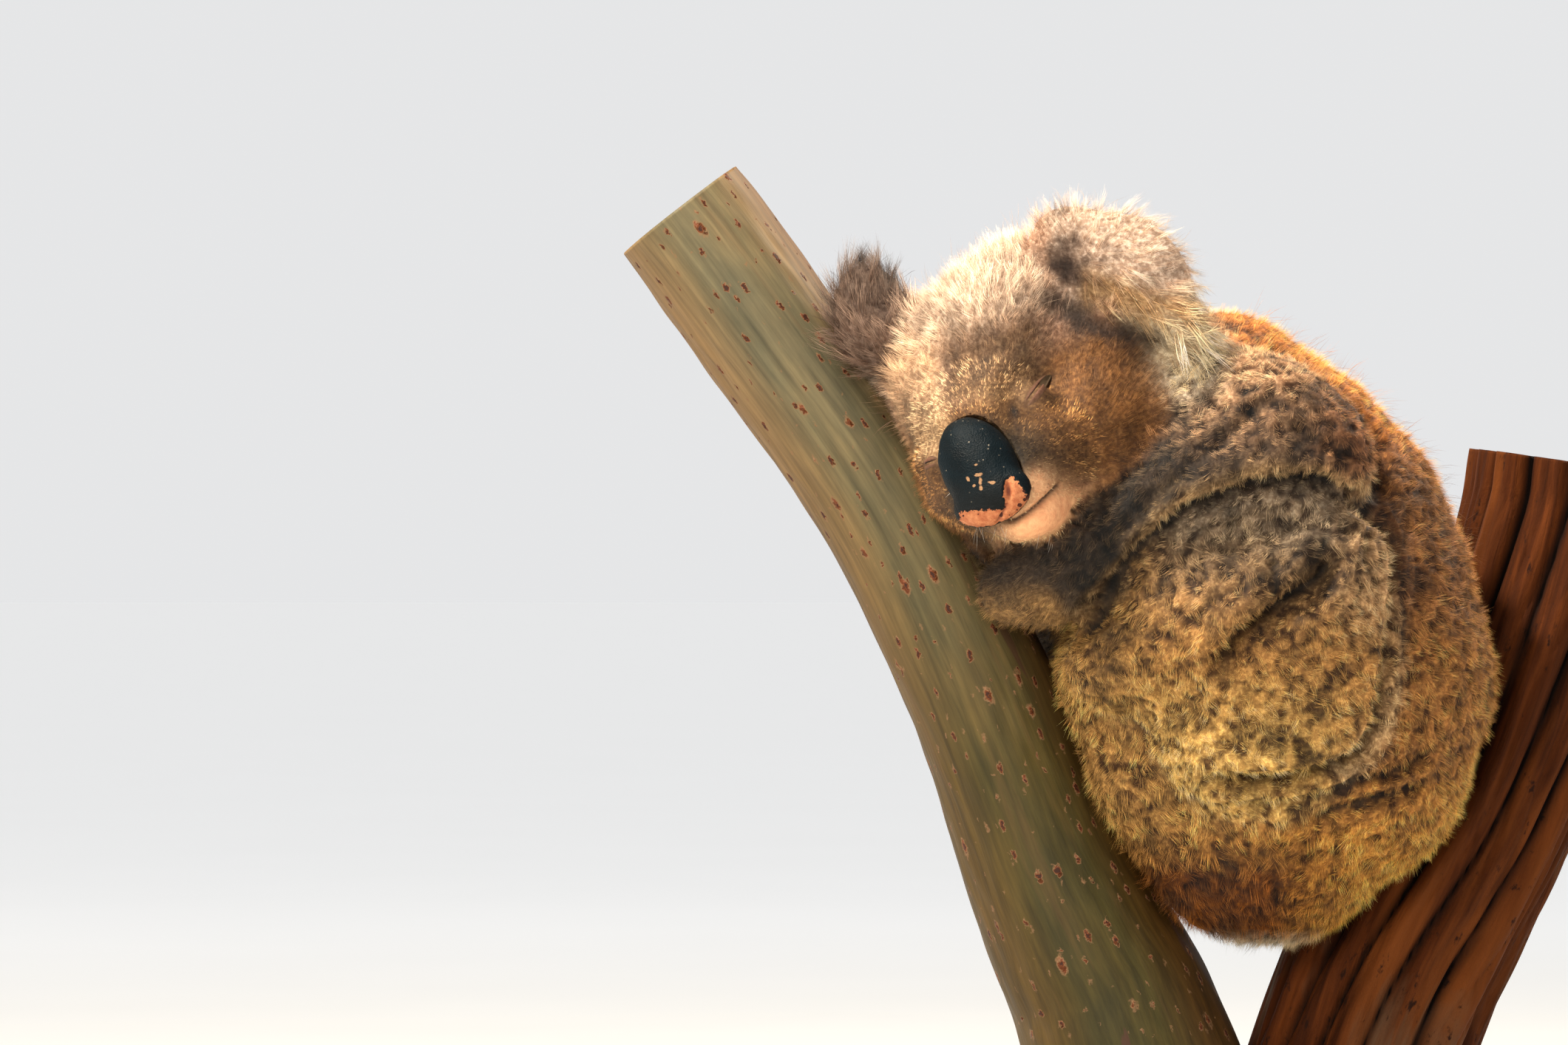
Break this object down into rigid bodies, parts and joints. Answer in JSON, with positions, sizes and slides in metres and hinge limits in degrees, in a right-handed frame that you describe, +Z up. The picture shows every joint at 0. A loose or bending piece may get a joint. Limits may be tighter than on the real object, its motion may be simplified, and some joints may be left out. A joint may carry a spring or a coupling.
{
  "type": "koala",
  "caption": "Adult koala asleep in the fork of a gum tree, curled up with its face leaning on the smooth limb, still and life size on a plain display stand.",
  "frame": {"origin": "centre of the underside of the display stand's base, on the floor", "axes": "+Z up; the animal faces -X, towards the pale limb; its left side is towards -Y, its right side towards +Y"},
  "size_m": [0.5893, 0.3197, 0.6208],
  "materials": {
    "coat": "dense woolly fur: grey-brown with pale tips on the limbs, red-brown on the back, fawn on the belly and rump, cream at the ear",
    "nose": "grained slate-black leathery skin, bare pink at the nostrils",
    "claw": "dark horn, satin",
    "pale_bark": "smooth pale gum bark with small rust-brown scars",
    "red_bark": "coarse stringy red-brown bark",
    "stand": "satin black paint"
  },
  "bodies": {
    "root": {"claw_foot_left_2": "claw", "claw_foot_left_3": "claw", "claw_foot_left_4": "claw", "claw_foot_left_5": "claw", "claw_foot_right_2": "claw", "claw_foot_right_3": "claw", "claw_foot_right_4": "claw", "claw_foot_right_5": "claw", "claw_hand_left_1": "claw", "claw_hand_left_2": "claw", "claw_hand_left_3": "claw", "claw_hand_left_4": "claw", "claw_hand_left_5": "claw", "claw_hand_right_1": "claw", "claw_hand_right_2": "claw", "claw_hand_right_3": "claw", "claw_hand_right_4": "claw", "claw_hand_right_5": "claw", "ear_left": "coat", "ear_right": "coat", "foot_left": "coat", "foot_right": "coat", "forearm_left": "coat", "forearm_right": "coat", "hand_left": "coat", "hand_right": "coat", "head": "coat", "lid_left": "coat", "lid_right": "coat", "nose": "nose", "perch_limb": "pale_bark", "perch_trunk": "red_bark", "shank_left": "coat", "shank_right": "coat", "stand_base": "stand", "stand_rod_left": "stand", "stand_rod_right": "stand", "thigh_left": "coat", "thigh_right": "coat", "trunk": "coat", "upper_arm_left": "coat", "upper_arm_right": "coat"}
  },
  "joints": []
}
